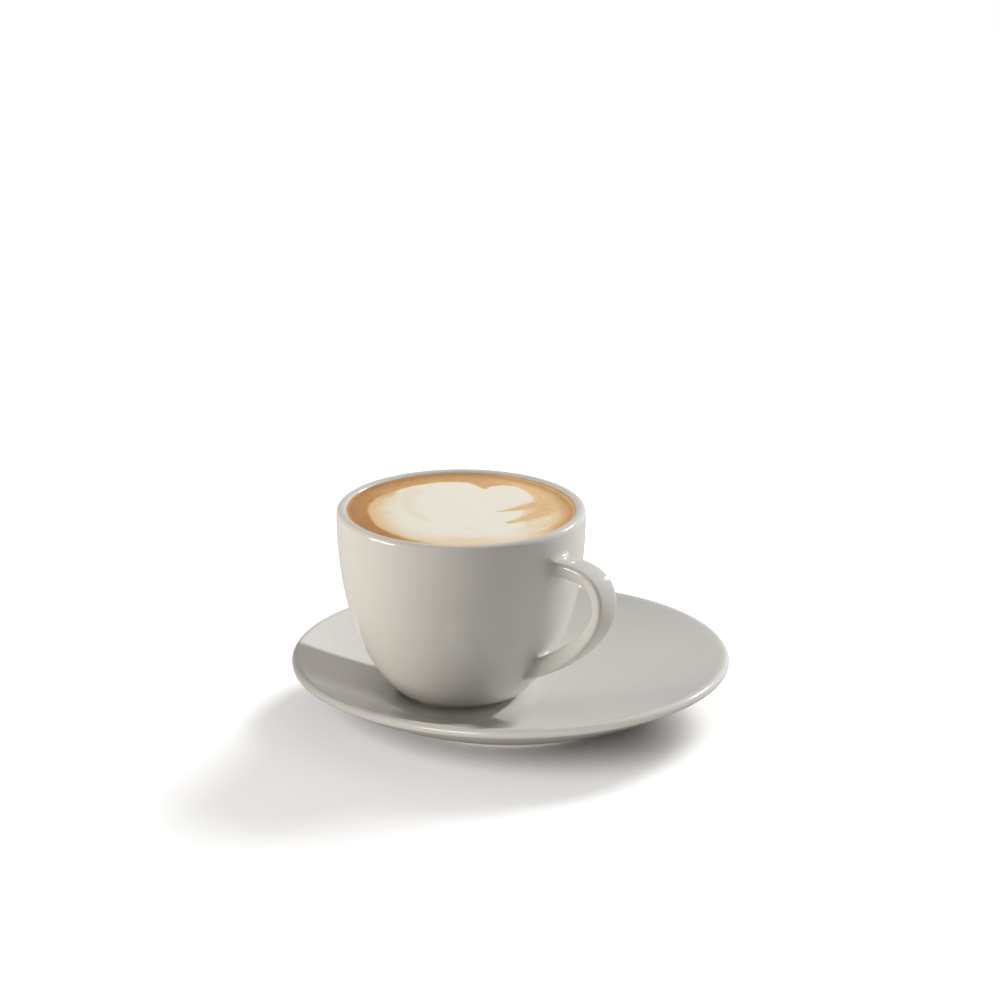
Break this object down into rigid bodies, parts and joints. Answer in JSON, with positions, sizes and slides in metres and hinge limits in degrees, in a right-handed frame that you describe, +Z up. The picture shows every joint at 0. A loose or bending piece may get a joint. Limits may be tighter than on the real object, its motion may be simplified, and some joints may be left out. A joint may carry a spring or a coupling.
{
  "type": "latte in a cup and saucer",
  "caption": "Round porcelain cup filled to the lip with latte and poured milk foam, with an ear-shaped handle, standing off centre on its saucer.",
  "frame": {"origin": "middle of the saucer's foot, on the surface that it stands on", "axes": "+Z up, +X along the cup's handle, away from the cup"},
  "size_m": [0.155, 0.155, 0.0754],
  "materials": {
    "porcelain": "clear gloss glaze over warm white porcelain",
    "latte": "satin, fine milk foam and crema"
  },
  "bodies": {
    "root": {"saucer": "porcelain", "cup": "porcelain", "latte": "latte"}
  },
  "joints": []
}
